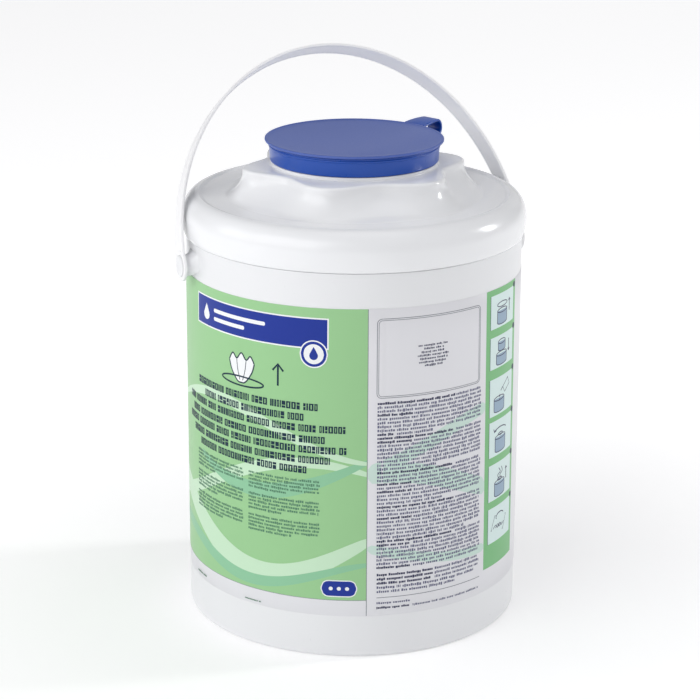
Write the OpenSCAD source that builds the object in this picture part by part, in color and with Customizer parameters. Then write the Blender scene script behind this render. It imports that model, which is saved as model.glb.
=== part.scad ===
// Countertop wipes dispenser: a round bucket with a swinging strap handle and a screw lid.
// A tethered flip cap covers the dispensing port, and a centre-feed roll stands inside.
// Z points up, the table is z = 0, the bucket's axis is the Z axis and the handle turns about X.

/* [Bucket] */
// Outside diameter of the bucket's wall
bucket_d = 190.4; // [176:0.2:210]
// Height of the bucket's rim above the table
bucket_h = 236.8; // [200:0.2:290]
// Thickness of the bucket's wall
bucket_wall = 2.4; // [1.8:0.1:3.2]
// Thickness of the bucket's floor
floor_t = 2.6; // [1.8:0.1:5]
// Radius of the round between wall and base
base_round = 3; // [2:0.5:6]
// Height of the hollow under the base
base_hollow = 2.4; // [1:0.2:5]
// Width of the ring that the bucket stands on
foot_w = 8; // [5:0.5:16]
// Height of the finish that the lid screws over
finish_h = 15; // [12:0.5:20]
// Step in from the wall to the finish
finish_inset = 3.3; // [2.8:0.1:3.6]

/* [Label] */
// Height of the label's lower edge
label_low = 25; // [12:1:60]
// Gap between the label's upper edge and the handle's lugs
label_clear = 0.8; // [0.4:0.1:20]
// Thickness of the label film
label_t = 0.2; // [0.1:0.05:0.4]

/* [Lid] */
// How far the lid's skirt stands out of the bucket's wall
lid_out = 2.2; // [1.8:0.1:2.8]
// Thickness of the lid's skirt
lid_wall = 3.8; // [3.2:0.1:4.4]
// Height over which the skirt draws in towards the bucket's wall
skirt_draw = 9; // [4:0.5:11]
// Gap between the skirt's lower edge and the bucket's shoulder
skirt_gap = 0.5; // [0.3:0.1:1.5]
// Rise of the shoulder's crest above the sealing face
shoulder_rise = 6; // [4:0.5:10]
// Width of the rounded shoulder
shoulder_w = 9.6; // [8:0.2:12]
// Height of the rounded shoulder
shoulder_h = 12.6; // [9:0.2:14]
// Step from the shoulder's crest down to the top panel
panel_drop = 0.8; // [0.4:0.1:1.6]
// Thickness of the top panel
panel_t = 2.2; // [1.6:0.1:3]

/* [Grip boss] */
// Number of lobes on the raised grip
lobes = 6; // [4:1:8]
// Mean radius of the grip's upper edge
grip_r = 58; // [54:0.5:62]
// Half the difference between lobe tops and hollows
lobe_depth = 6; // [2:0.2:6.6]
// Radius of the grip's foot on the top panel
foot_r = 72.5; // [68:0.5:78]
// Height of the grip above the top panel
grip_h = 16.6; // [10:0.2:24]
// Turn of the first lobe from the handle's axis
lobe_turn = -6; // [-30:1:30]
// Thickness of the grip's wall
grip_wall = 2.2; // [1.6:0.1:3]

/* [Port] */
// Inside diameter of the port
port_d = 83.6; // [78:0.2:88]
// Wall thickness of the port's neck
neck_wall = 2.2; // [1.6:0.1:3]
// Height of the neck above the grip's top
neck_h = 10.5; // [9:0.5:14]
// Width of the white ring round the neck's foot, under the collar
neck_ring = 3.2; // [1:0.1:3.8]
// Depth of the insert's seat below the neck's rim
seat_depth = 6.9; // [6.5:0.1:7.5]
// Thickness of the dispensing insert
insert_t = 1.6; // [1:0.1:2]
// Diameter of the orifice that the wipe is drawn through
orifice_d = 19; // [16:0.5:26]
// Height of the teeth round the orifice
tooth_h = 2.4; // [1.2:0.1:2.6]
// Number of teeth round the orifice
teeth = 8; // [4:1:12]

/* [Cap] */
// How far the flip cap overhangs the collar
cap_overhang = 2.2; // [1.5:0.1:5]
// Thickness of the flip cap
cap_t = 1.6; // [1.2:0.1:2.2]
// Depth of the cap's plug ring
plug_h = 3.6; // [2:0.2:4]
// Gap between the cap and what it closes on
cap_gap = 0.4; // [0.3:0.05:0.8]
// Height of the white ring left bare under the collar
collar_low = 2; // [1:0.2:3]
// Wall thickness of the collar at its top
collar_wall = 4.2; // [3:0.1:5]
// Thickness of the collar's inward lip
lip_t = 1.7; // [1.2:0.1:2.4]
// Width of the strap that ties the cap to the collar
tether_w = 15; // [10:0.5:20]
// Thickness of the tether
tether_t = 1.3; // [1:0.1:1.8]
// How far the tether reaches out past the cap's rim
tether_reach = 18.8; // [13:0.2:22]
// Rise of the tether's upper leaf from the hinge to the fold
tether_rise = 1.2; // [0:0.1:2.5]
// Outer radius of the tether's fold
fold_r = 5; // [3.5:0.1:5.5]
// Direction of the tether from the handle's axis
tether_turn = 26.5; // [15:0.5:40]

/* [Handle] */
// Drop from the bucket's shoulder to the handle's pivot
pivot_drop = 12.3; // [11:0.1:18]
// Rise of the strap's middle above the pivot
handle_rise = 120; // [112:1:140]
// Width of the strap
handle_w = 14.4; // [10:0.2:18]
// Thickness of the strap
handle_t = 1.8; // [1.4:0.1:3]
// Radius of the strap's round ends
eye_r = 8.5; // [7.5:0.1:9]
// Lean of the handle away from the front at rest
handle_lean = 28; // [10:1:50]
// How far the lug stands out of the bucket's wall
lug_out = 5.3; // [4:0.1:7]
// Radius of the lug's outer face
lug_r = 6.2; // [5.8:0.1:7.5]
// Height of the lug's root above the pivot
lug_lift = 3; // [0:0.5:4]
// Gap between lug and strap
handle_gap = 0.5; // [0.3:0.1:1]
// Radius of the pivot stud's shank
stud_r = 4; // [3:0.1:5]
// Radius of the pivot stud's head
stud_head_r = 6.2; // [5.2:0.1:7.5]
// Thickness of the pivot stud's head
stud_head_t = 0.8; // [0.6:0.1:2]
// Running clearance of the strap's eye on the stud
stud_clear = 0.06; // [0.03:0.01:0.1]

/* [Roll and seal] */
// Clearance between the roll and the bucket's wall
roll_clear = 4.8; // [2:0.2:10]
// Radius of the roll's hollow middle
core_r = 20; // [16:0.5:30]
// Height of the roll
roll_h = 199; // [100:1:200]
// Thickness of the seal ring under the lid
seal_t = 1.4; // [1:0.1:2]
// Gap above and below the seal ring
seal_gap = 0.2; // [0.1:0.05:0.4]

/* [Wipe] */
// How far the leading wipe hangs down into the roll
tail_drop = 55; // [30:1:90]
// Gap between the gathered wipe and the orifice's wall
tail_clear = 3.2; // [0.5:0.1:5]
// Gap between the loose wipe and the roll's hollow middle
tail_core_gap = 7; // [3:0.5:12]
// Gap between the wipe's tip and the closed cap
tip_gap = 2.4; // [1:0.1:4]

/* [Hidden] */

$fn = 96;
join = 0.6;             // depth that one shape runs into the next inside a node
edge_r = 0.8;           // round on the moulded edges

bucket_r = bucket_d / 2;
inner_r = bucket_r - bucket_wall;
finish_r = bucket_r - finish_inset;
finish_z = bucket_h - finish_h;
narrow_z = finish_z - finish_inset - bucket_wall / 2;   // the inside narrows from here up
floor_z = base_hollow + floor_t;

lid_r = bucket_r + lid_out;
skirt_r = lid_r - lid_wall;
skirt_z = finish_z + skirt_gap;
land_z = bucket_h + seal_t + 2 * seal_gap;
crest_z = land_z + shoulder_rise;
crease_r = lid_r - shoulder_w;
panel_z = crest_z - panel_drop;
grip_z = panel_z + grip_h;
neck_z = grip_z + join;
neck_top = neck_z + neck_h;
neck_r = port_d / 2 + neck_wall;
seat_z = neck_top - seat_depth;
seat_w = 2.8;           // width of the ledge that the insert rests on
insert_r = port_d / 2 - 0.2;
insert_top = seat_z + insert_t;
orifice_r = orifice_d / 2;
tooth_w = 2.6;          // wall thickness of the teeth
slit_w = 1.4;           // width of the slits between the teeth

collar_z = neck_z + collar_low;
collar_top = neck_top + lip_t;
collar_r = neck_r + collar_wall;
collar_taper = 0.6;     // the collar's outside narrows by this towards the bottom
cap_z = collar_top + cap_gap;
cap_top = cap_z + cap_t;
cap_r = collar_r + cap_overhang;
plug_r = port_d / 2 - cap_gap;
plug_wall = 1.6;
hinge_r = cap_r + 0.3;  // the tether's root, just outside the cap's rim
fold_x = hinge_r + tether_reach - fold_r;
fold_z = cap_top + tether_rise - fold_r;

pivot_z = finish_z - pivot_drop;
lug_x = bucket_r + lug_out;
lug_root_w = 11;        // half width of the lug where it leaves the wall
lug_root_h = 6.2;       // half height of the lug where it leaves the wall
label_h = pivot_z - lug_r - label_clear - label_low;
strap_x = lug_x + handle_gap;
stud_gap = 0.15;        // play between the strap and the stud's head
socket_depth = lug_out - 0.4;
roll_r = inner_r - roll_clear;

// Points of an elliptic arc about (cx, cy) from angle a0 to a1 in n steps
function arc(cx, cy, rx, ry, a0, a1, n) =
    [for (i = [0:n]) let (a = a0 + (a1 - a0) * i / n) [cx + rx * cos(a), cy + ry * sin(a)]];

// --- bucket -----------------------------------------------------------------------------

module bucket_shell() {
    foot_r = bucket_r - base_round - foot_w;
    rotate_extrude() polygon(concat(
        [[0, base_hollow], [foot_r - base_hollow, base_hollow], [foot_r, 0]],
        arc(bucket_r - base_round, base_round, base_round, base_round, -90, 0, 6),
        arc(bucket_r - edge_r, finish_z - edge_r, edge_r, edge_r, 0, 90, 4),
        [[finish_r, finish_z], [finish_r, bucket_h - edge_r], [finish_r - edge_r, bucket_h],
         [inner_r - finish_inset, bucket_h], [inner_r - finish_inset, finish_z],
         [inner_r, narrow_z]],
        arc(inner_r - base_round, floor_z + base_round, base_round, base_round, 0, -90, 6),
        [[0, floor_z]]));
}

// Raised pad with sloping sides that carries one end of the handle, on the +X side
module lug() {
    hull() {
        translate([lug_x - 1, 0, pivot_z]) rotate([0, 90, 0]) cylinder(r = lug_r, h = 1, $fn = 32);
        translate([inner_r + join, -lug_root_w, pivot_z + lug_lift - lug_root_h])
            cube([bucket_wall / 2, 2 * lug_root_w, 2 * lug_root_h]);
    }
}

module bucket() {
    color("white") difference() {
        union() {
            bucket_shell();
            for (side = [0, 180]) rotate([0, 0, side]) lug();
        }
        for (side = [0, 180]) rotate([0, 0, side])
            translate([lug_x - socket_depth, 0, pivot_z]) rotate([0, 90, 0])
                cylinder(r = stud_r, h = socket_depth + 1);
        // the lug never reaches into the bucket
        translate([0, 0, floor_z + base_round])
            cylinder(r = inner_r - 0.01, h = narrow_z - floor_z - base_round);
    }
}

module label_wrap() {
    color("palegreen") translate([0, 0, label_low]) difference() {
        cylinder(r = bucket_r + label_t, h = label_h);
        translate([0, 0, -1]) cylinder(r = bucket_r, h = label_h + 2);
    }
}

// --- lid --------------------------------------------------------------------------------

// Radius of the lobed outline at an angle, for a mean radius and a lobe depth
function lobed(mean, depth, a) = mean + depth * cos(lobes * (a - lobe_turn));

// One ring of the grip's skin: n points at height z
function grip_ring(mean, depth, z, n) =
    [for (i = [0:n - 1]) let (a = 360 * i / n, r = lobed(mean, depth, a))
        [r * cos(a), r * sin(a), z]];

// Section of the grip's wall as [mean radius, lobe depth, height], from the foot to the neck.
// The flank sweeps up from a wide foot; inset is how far the skin lies inside the outer one.
function grip_section(inset) = let (steps = 6, edge = 1.2) concat(
    [for (i = [0:steps]) let (t = i / steps)
        [grip_r + (foot_r - grip_r) * pow(1 - t, 1.8) - inset,
         lobe_depth * (0.12 + 0.88 * pow(t, 0.7)),
         panel_z - panel_t / 2 + (grip_z - edge - panel_z + panel_t / 2) * t - inset / 2 * t]],
    [[grip_r - 0.5 - inset, lobe_depth * 0.98, grip_z - 0.4 * edge - inset * 0.8],
     [grip_r - 1.7 - inset, lobe_depth * 0.9, grip_z - inset],
     [neck_r - neck_wall / 2, 0, neck_z - inset]]);

// The hollow lobed grip: an outer and an inner skin joined at the foot and at the neck
module grip_shell(n = 72) {
    outer = grip_section(0);
    inner = grip_section(grip_wall);
    loop = concat(outer, [for (i = [len(inner) - 1:-1:0]) inner[i]]);
    rings = len(loop);
    points = [for (s = loop) each grip_ring(s[0], s[1], s[2], n)];
    faces = [for (k = [0:rings - 1], i = [0:n - 1])
        let (a = k * n + i, b = k * n + (i + 1) % n,
             c = ((k + 1) % rings) * n + (i + 1) % n, d = ((k + 1) % rings) * n + i)
        each [[a, c, b], [a, d, c]]];
    polyhedron(points, faces);
}

module lid_shell() {
    draw = lid_r - bucket_r - 0.2;      // the lower edge ends just outside the bucket's wall
    rotate_extrude() polygon(concat(
        [[skirt_r, skirt_z], [lid_r - draw - edge_r / 2, skirt_z]],
        arc(lid_r - draw, skirt_z + skirt_draw, draw, skirt_draw - edge_r / 2, -90, 0, 8),
        arc(crease_r, crest_z - shoulder_h, shoulder_w, shoulder_h, 0, 90, 10),
        [[crease_r - panel_drop, panel_z], [foot_r - 4, panel_z],
         [foot_r - 4, panel_z - panel_t], [crease_r - 3, panel_z - panel_t],
         [crease_r + 0.5, land_z], [skirt_r, land_z]]));
}

module lid_neck() {
    rotate_extrude() difference() {
        translate([port_d / 2, grip_z - grip_wall - join])
            square([neck_wall, neck_top - grip_z + grip_wall + join]);
        translate([neck_r, neck_top]) rotate(45) square(0.9, center = true);
    }
    // ring that the collar sits on
    rotate_extrude() translate([port_d / 2 + join, grip_z - join])
        square([neck_wall - join + neck_ring, collar_z - cap_gap - grip_z + join]);
    // ledge under the dispensing insert
    rotate_extrude() polygon([[port_d / 2 + join, seat_z], [port_d / 2 - seat_w, seat_z],
        [port_d / 2 - seat_w, seat_z - 1], [port_d / 2 + join, seat_z - 1 - seat_w]]);
}

module lid() {
    color("white") union() {
        lid_shell();
        grip_shell();
        lid_neck();
    }
}

module lid_seal_ring() {
    ring_w = 3.6;
    color("gainsboro") translate([0, 0, bucket_h + seal_gap]) difference() {
        cylinder(r = finish_r + 1, h = seal_t);
        translate([0, 0, -1]) cylinder(r = finish_r + 1 - ring_w, h = seal_t + 2);
    }
}

module dispensing_insert() {
    color("whitesmoke") difference() {
        union() {
            translate([0, 0, seat_z]) cylinder(r = insert_r, h = insert_t);
            translate([0, 0, seat_z]) cylinder(r = orifice_r + tooth_w, h = insert_t + tooth_h);
        }
        translate([0, 0, seat_z - 1]) cylinder(r = orifice_r, h = insert_t + tooth_h + 2);
        for (i = [0:teeth - 1]) rotate([0, 0, 360 * i / teeth])
            translate([0, -slit_w / 2, insert_top]) cube([orifice_r + 2 * tooth_w, slit_w, tooth_h + 1]);
    }
}

// --- cap --------------------------------------------------------------------------------

// The collar's outside, slightly narrower at the bottom
module collar_cone() {
    translate([0, 0, collar_z])
        cylinder(r1 = collar_r - collar_taper, r2 = collar_r, h = collar_top - collar_z);
}

module cap_collar() {
    bead = 0.6;
    color("royalblue") difference() {
        union() {
            collar_cone();
            rotate_extrude() translate([collar_r - 0.3, collar_top - 1.6]) circle(r = bead, $fn = 24);
        }
        translate([0, 0, collar_z - 1]) cylinder(r = neck_r + 0.1, h = neck_top - collar_z + 1.1);
        translate([0, 0, collar_z]) cylinder(r = port_d / 2, h = collar_top - collar_z + 1);
    }
}

// Side view of the tether: top leaf, fold and lower leaf, with x along its reach
module tether_profile() {
    hull() {
        translate([hinge_r, cap_top - tether_t]) square([0.2, tether_t]);
        translate([fold_x - 0.1, fold_z + fold_r - tether_t]) square([0.2, tether_t]);
    }
    translate([fold_x, fold_z]) intersection() {
        difference() { circle(r = fold_r); circle(r = fold_r - tether_t); }
        translate([0, -fold_r]) square([fold_r, 2 * fold_r]);
    }
    translate([collar_r - 4, fold_z - fold_r]) square([fold_x - collar_r + 4, tether_t]);
}

module cap_tether() {
    color("royalblue") rotate([0, 0, tether_turn]) difference() {
        rotate([90, 0, 0]) linear_extrude(height = tether_w, center = true) tether_profile();
        collar_cone();
    }
}

module flip_cap() {
    color("slateblue") union() {
        rotate_extrude() polygon([[0, cap_z], [cap_r - 0.5, cap_z], [cap_r, cap_z + 0.5],
            [cap_r, cap_top - 0.5], [cap_r - 0.5, cap_top], [0, cap_top]]);
        translate([0, 0, cap_z - plug_h]) difference() {
            cylinder(r = plug_r, h = plug_h + join);
            translate([0, 0, -1]) cylinder(r = plug_r - plug_wall, h = plug_h + 1);
        }
    }
}

// --- handle -----------------------------------------------------------------------------

// Half ellipse from the +X end over the top to the -X end
function half_ellipse(a, b, n) = arc(0, 0, a, b, 0, 180, n);

module handle_strap() {
    steps = 72;
    a = strap_x + handle_t;
    b = handle_rise + handle_t / 2;
    outline = concat(half_ellipse(a, b, steps),
        [for (i = [steps:-1:0]) half_ellipse(a - handle_t, b - handle_t, steps)[i]]);
    color("white") translate([0, 0, pivot_z]) rotate([-handle_lean, 0, 0]) difference() {
        union() {
            rotate([90, 0, 0]) linear_extrude(height = handle_w, center = true) polygon(outline);
            for (side = [0, 180]) rotate([0, 0, side]) translate([strap_x, 0, 0])
                rotate([0, 90, 0]) cylinder(r = eye_r, h = handle_t);
        }
        for (side = [0, 180]) rotate([0, 0, side]) translate([strap_x - 2, 0, 0])
            rotate([0, 90, 0]) cylinder(r = stud_r + stud_clear, h = handle_t + 4);
    }
}

// Push-in pivot stud on the +X side: domed head outside the strap, shank in the lug's socket
module handle_stud() {
    head_x = strap_x + handle_t + stud_gap;
    tip_x = lug_x - socket_depth + 0.2;
    color("white") translate([0, 0, pivot_z]) rotate([0, 90, 0]) rotate_extrude()
        polygon([[0, tip_x], [stud_r - 0.5, tip_x], [stud_r, tip_x + 0.8], [stud_r, head_x],
            [stud_head_r, head_x], [stud_head_r, head_x + stud_head_t / 2],
            [stud_head_r - 0.7, head_x + stud_head_t], [0, head_x + stud_head_t]]);
}

module handle_stud_left() { rotate([0, 0, 180]) handle_stud(); }
module handle_stud_right() { handle_stud(); }

// --- contents ---------------------------------------------------------------------------

module wipe_roll() {
    color("ivory") translate([0, 0, floor_z]) difference() {
        cylinder(r = roll_r, h = roll_h);
        translate([0, 0, -1]) cylinder(r = core_r, h = roll_h + 2);
    }
}

// The leading wipe, gathered through the orifice: its tip waits under the cap
module wipe_tail() {
    round = 2;          // the wipe's ends are rounded off by about this
    waist = orifice_r - tail_clear;
    belly = core_r - tail_core_gap;
    tip_z = cap_z - tip_gap;
    low_z = floor_z + roll_h - tail_drop;
    color("ivory") rotate_extrude() polygon([[0, low_z], [belly - round, low_z + round],
        [belly, low_z + 0.7 * tail_drop], [waist + round, seat_z - 0.4 * tail_drop],
        [waist, seat_z - tail_core_gap], [waist, insert_top + round],
        [waist + 0.9 * round, tip_z - 0.8 * round], [waist - round / 2, tip_z], [0, tip_z]]);
}

bucket();
label_wrap();
lid();
lid_seal_ring();
dispensing_insert();
cap_collar();
cap_tether();
flip_cap();
handle_strap();
handle_stud_left();
handle_stud_right();
wipe_roll();
wipe_tail();
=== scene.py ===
"""Looks of the countertop wipes dispenser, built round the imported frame.

Lengths in this file are millimetres and angles are degrees, unless a name or comment says otherwise.
"""
import math
import random

import bmesh
import bpy
from mathutils import Matrix, Vector


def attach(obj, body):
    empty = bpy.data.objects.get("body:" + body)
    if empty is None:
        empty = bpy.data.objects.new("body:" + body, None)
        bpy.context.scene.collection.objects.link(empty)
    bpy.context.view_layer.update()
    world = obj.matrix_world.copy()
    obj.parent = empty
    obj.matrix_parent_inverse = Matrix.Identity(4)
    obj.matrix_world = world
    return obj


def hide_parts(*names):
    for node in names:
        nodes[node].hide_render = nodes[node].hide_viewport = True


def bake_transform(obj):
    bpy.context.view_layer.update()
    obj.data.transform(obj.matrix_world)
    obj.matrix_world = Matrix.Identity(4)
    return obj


MM = 0.001
VIEW_TURN = -20.5                   # the camera's turn about Z, away from the front of the object
MIDDLE = Vector((0, 0, 0.16))       # about the middle of the object, in metres
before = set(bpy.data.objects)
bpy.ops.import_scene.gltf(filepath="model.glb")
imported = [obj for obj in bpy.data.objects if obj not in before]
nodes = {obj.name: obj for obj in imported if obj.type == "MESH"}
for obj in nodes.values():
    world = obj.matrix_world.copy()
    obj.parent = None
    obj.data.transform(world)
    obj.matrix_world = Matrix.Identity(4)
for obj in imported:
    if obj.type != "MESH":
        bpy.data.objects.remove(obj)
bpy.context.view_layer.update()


# --- camera ---------------------------------------------------------------------------------

def make_camera():
    """Camera fitted to the photo's ellipses. Its pitch, yaw and roll are in radians."""
    focal_px, image_px, sensor = 2452.362, 700, 36.0
    pitch, yaw, roll = 0.3040943, -0.00137, 0.005122768
    stand = Vector((0, -1348.778, 573.155))
    forward = Vector((math.sin(yaw) * math.cos(pitch), math.cos(yaw) * math.cos(pitch), -math.sin(pitch)))
    level = Vector((math.cos(yaw), -math.sin(yaw), 0))
    over = level.cross(forward)
    right = math.cos(roll) * level + math.sin(roll) * over
    up = -math.sin(roll) * level + math.cos(roll) * over
    turn = Matrix.Rotation(math.radians(VIEW_TURN), 3, "Z")
    right, up, back = turn @ right, turn @ up, turn @ -forward
    place = turn @ stand * MM
    data = bpy.data.cameras.new("camera")
    data.sensor_width = sensor
    data.lens = sensor * focal_px / image_px
    data.clip_start, data.clip_end = 0.05, 40
    cam = bpy.data.objects.new("camera", data)
    bpy.context.scene.collection.objects.link(cam)
    cam.matrix_world = Matrix.Translation(place) @ Matrix((right, up, back)).transposed().to_4x4()
    bpy.context.scene.camera = cam


make_camera()


# --- mesh helpers ---------------------------------------------------------------------------

def piece(name, shells, material, body, sharp=32, blend=None):
    """One object from shells, each a list of points and a list of faces."""
    points, faces = [], []
    for verts, polys in shells:
        base = len(points)
        points += [(x * MM, y * MM, z * MM) for x, y, z in verts]
        faces += [[i + base for i in f] for f in polys]
    mesh = bpy.data.meshes.new(name)
    mesh.from_pydata(points, [], faces)
    bm = bmesh.new()
    bm.from_mesh(mesh)
    bmesh.ops.recalc_face_normals(bm, faces=bm.faces)
    limit = math.radians(sharp)
    for f in bm.faces:
        f.smooth = True
    for e in bm.edges:
        e.smooth = e.calc_face_angle(0) < limit
    bm.to_mesh(mesh)
    bm.free()
    mesh.materials.append(material)
    obj = bpy.data.objects.new(name, mesh)
    bpy.context.scene.collection.objects.link(obj)
    if blend:
        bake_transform(obj)
    else:
        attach(obj, body)
    return obj


def skin(rows, closed):
    """Shell through rows of points; a row is a ring, or one point where the shell closes on an axis."""
    verts, index, faces = [], [], []
    for row in rows:
        index.append(range(len(verts), len(verts) + len(row)))
        verts += row
    n = max(len(row) for row in rows)
    pairs = list(zip(index, index[1:])) + ([(index[-1], index[0])] if closed else [])
    for low, high in pairs:
        for i in range(n):
            j = (i + 1) % n
            quad = (low[i % len(low)], low[j % len(low)], high[j % len(high)], high[i % len(high)])
            faces.append(list(dict.fromkeys(quad)))
    return verts, faces


def tube(rows):
    """Closed shell along rows that are all rings of the same length, with a flat face at each end."""
    verts, faces = skin(rows, False)
    n = len(rows[0])
    return verts, faces + [list(range(n)), list(range(len(verts) - n, len(verts)))]


def ring(r, z, n):
    angles = [math.tau * i / n for i in range(n)]
    return [(r * math.cos(a), r * math.sin(a), z) for a in angles]


def lathe(profile, n=192):
    """Turns (r, z) points about Z: a closed loop, or a line from axis to axis."""
    return skin([ring(r, z, n) if r > 0 else [(0, 0, z)] for r, z in profile], profile[0][0] > 0)


def moved(shell, matrix):
    return [tuple(matrix @ Vector(v)) for v in shell[0]], shell[1]


def fillet(corners, steps=4, loop=True):
    """Corners (x, y, radius) of a polygon; each that has a radius becomes an arc of steps + 1 points."""
    out, n = [], len(corners)
    for i, (x, y, radius) in enumerate(corners):
        if not radius or (not loop and i in (0, n - 1)):
            out.append((x, y))
            continue
        here = Vector((x, y))
        a = Vector(corners[i - 1][:2]) - here
        b = Vector(corners[(i + 1) % n][:2]) - here
        half = a.angle(b) / 2
        reach = min(radius / math.tan(half), 0.48 * a.length, 0.48 * b.length)
        radius = reach * math.tan(half)
        a.normalize()
        b.normalize()
        centre = here + (a + b).normalized() * (radius / math.sin(half))
        start, end = here + a * reach - centre, here + b * reach - centre
        turn = max(math.pi - 2 * half, 1e-4)
        for k in range(steps + 1):
            t = k / steps
            p = centre + (math.sin((1 - t) * turn) * start + math.sin(t * turn) * end) / math.sin(turn)
            out.append((p.x, p.y))
    return out


def arc(cx, cy, rx, ry, a0, a1, n):
    angles = [math.radians(a0 + (a1 - a0) * i / n) for i in range(n + 1)]
    return [(cx + rx * math.cos(a), cy + ry * math.sin(a)) for a in angles]


def catmull(points):
    """Smooth line through points."""
    steps = 6
    pts = [points[0]] + list(points) + [points[-1]]
    out = []
    for p0, p1, p2, p3 in zip(pts, pts[1:], pts[2:], pts[3:]):
        for k in range(steps):
            t = k / steps
            out.append(tuple(0.5 * (2 * b + (c - a) * t + (2 * a - 5 * b + 4 * c - d) * t * t
                                    + (3 * b - a - 3 * c + d) * t ** 3)
                             for a, b, c, d in zip(p0, p1, p2, p3)))
    return out + [tuple(points[-1])]


def through(points):
    """Second value of points as a function of the first, along straight pieces between them."""
    def value(s):
        for (s0, v0), (s1, v1) in zip(points, points[1:]):
            if s <= s1:
                return v0 + (v1 - v0) * (s - s0) / (s1 - s0)
        return points[-1][1]
    return value


# --- materials ------------------------------------------------------------------------------

MIX_A, MIX_B, MIX_RESULT = 6, 7, 2      # a Mix node's sockets for colours


def srgb(*values):
    return [(v / 255 / 12.92) if v / 255 <= 0.04045 else ((v / 255 + 0.055) / 1.055) ** 2.4 for v in values]


def plastic(name, colour, rough, spread=0.05, grain=(900, 0.02), wave=(14, 0.05), tint=0.03, sheen=0.0,
            level=0.5):
    """Moulded or printed surface with a slightly uneven gloss (spread) and colour (tint).

    Its fine grain and its slow waves are each given by a scale and a strength.
    """
    mat = bpy.data.materials.new(name)
    mat.use_nodes = True
    tree = mat.node_tree
    new, link = tree.nodes.new, tree.links.new
    shader = tree.nodes["Principled BSDF"]
    shader.inputs["Sheen Weight"].default_value = sheen
    shader.inputs["Specular IOR Level"].default_value = level
    place = new("ShaderNodeTexCoord")

    def noise(scale, detail):
        node = new("ShaderNodeTexNoise")
        node.inputs["Scale"].default_value = scale
        node.inputs["Detail"].default_value = detail
        link(place.outputs["Object"], node.inputs["Vector"])
        return node

    fine, slow = noise(grain[0], 1), noise(wave[0], 2)
    shade = new("ShaderNodeMix")
    shade.data_type = "RGBA"
    rgb = srgb(*colour)
    shade.inputs[MIX_A].default_value = (*[c * (1 - tint) for c in rgb], 1)
    shade.inputs[MIX_B].default_value = (*[min(1, c * (1 + tint)) for c in rgb], 1)
    link(slow.outputs["Fac"], shade.inputs[0])
    link(shade.outputs[MIX_RESULT], shader.inputs["Base Color"])
    gloss = new("ShaderNodeMapRange")
    gloss.inputs["To Min"].default_value = rough - spread
    gloss.inputs["To Max"].default_value = rough + spread
    link(fine.outputs["Fac"], gloss.inputs["Value"])
    link(gloss.outputs["Result"], shader.inputs["Roughness"])
    last = None
    for node, strength, depth in ((slow, wave[1], 0.002), (fine, grain[1], 0.0003)):
        bump = new("ShaderNodeBump")
        bump.inputs["Strength"].default_value = strength
        bump.inputs["Distance"].default_value = depth
        link(node.outputs["Fac"], bump.inputs["Height"])
        if last:
            link(last.outputs["Normal"], bump.inputs["Normal"])
        last = bump
    link(last.outputs["Normal"], shader.inputs["Normal"])
    return mat


WHITE_BUCKET = plastic("bucket_plastic", (229, 230, 232), 0.3, wave=(11, 0.06))
WHITE_LID = plastic("lid_plastic", (235, 236, 238), 0.2, wave=(16, 0.1), grain=(500, 0.015))
WHITE_STRAP = plastic("strap_plastic", (243, 243, 244), 0.42, grain=(700, 0.03))
WHITE_STUD = plastic("stud_plastic", (230, 231, 233), 0.35)
WHITE_INSERT = plastic("insert_plastic", (232, 233, 234), 0.34)
SEAL = plastic("seal_rubber", (196, 198, 200), 0.62, grain=(1500, 0.15))
BLUE = plastic("collar_plastic", (6, 71, 166), 0.3, wave=(20, 0.05), grain=(600, 0.004))
# cap top and hinge web: the collar's blue made lighter and greyer, a painted sheen of white light reflected at
# a grazing angle
BLUE_WITH_PAINTED_SHEEN = plastic("cap_plastic_painted_sheen", (70, 95, 171), 0.36, wave=(18, 0.06), grain=(900, 0.012))
FLEECE = plastic("wipe_fleece", (240, 241, 238), 0.9, grain=(2600, 0.6), wave=(120, 0.3), sheen=0.3)

SMOOTH = {"spread": 0.02, "wave": (9, 0.03), "grain": (160, 0.004)}
FILM = plastic("label_film", (224, 224, 228), 0.33, tint=0.01, level=0.35, **SMOOTH)


def ink(name, colour):
    """Printed layer, a little duller than the bare film."""
    return plastic(name, colour, 0.38, tint=0.02, level=0.22, **SMOOTH)


GREEN = ink("ink_green", (152, 199, 145))
STRIP_GREEN = ink("ink_strip_green", (126, 187, 130))
PALE_GREEN = ink("ink_pale_green", (196, 226, 196))
TEAL_GREEN = ink("ink_teal_green", (140, 194, 156))
FAINT_GREEN = ink("ink_faint_green", (200, 221, 212))
NAVY = ink("ink_navy", (28, 52, 146))
WHITE = ink("ink_white", (236, 238, 240))
TEXT = ink("ink_text", (22, 48, 66))
SMALL_TEXT = ink("ink_small_text", (88, 132, 106))
DARK_TEXT = ink("ink_dark_text", (62, 64, 92))
MID_TEXT = ink("ink_mid_text", (104, 106, 132))
# grey of the printed outlines, also used for a painted shadow along the label's seam
OUTLINE_AND_SEAM_SHADOW = ink("ink_outline_and_seam_shadow", (126, 130, 138))
BOX_TINT = ink("ink_box_tint", (214, 232, 230))
BOX_TONE = ink("ink_box_tone", (150, 172, 192))


# --- bucket ---------------------------------------------------------------------------------

BUCKET_R, INNER_R, FINISH_R, MOUTH_R = 95.2, 92.8, 91.9, 89.5
SHOULDER_Z, RIM_Z, FLOOR_Z, UNDER_Z = 221.8, 236.8, 5.0, 2.4
PIVOT_Z, LUG_X, LUG_R, STUD_R = 209.5, 100.5, 6.2, 4.0
THREAD_LEAD, THREAD_TURNS, THREAD_Z = 5.0, 1.4, 225.5


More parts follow.
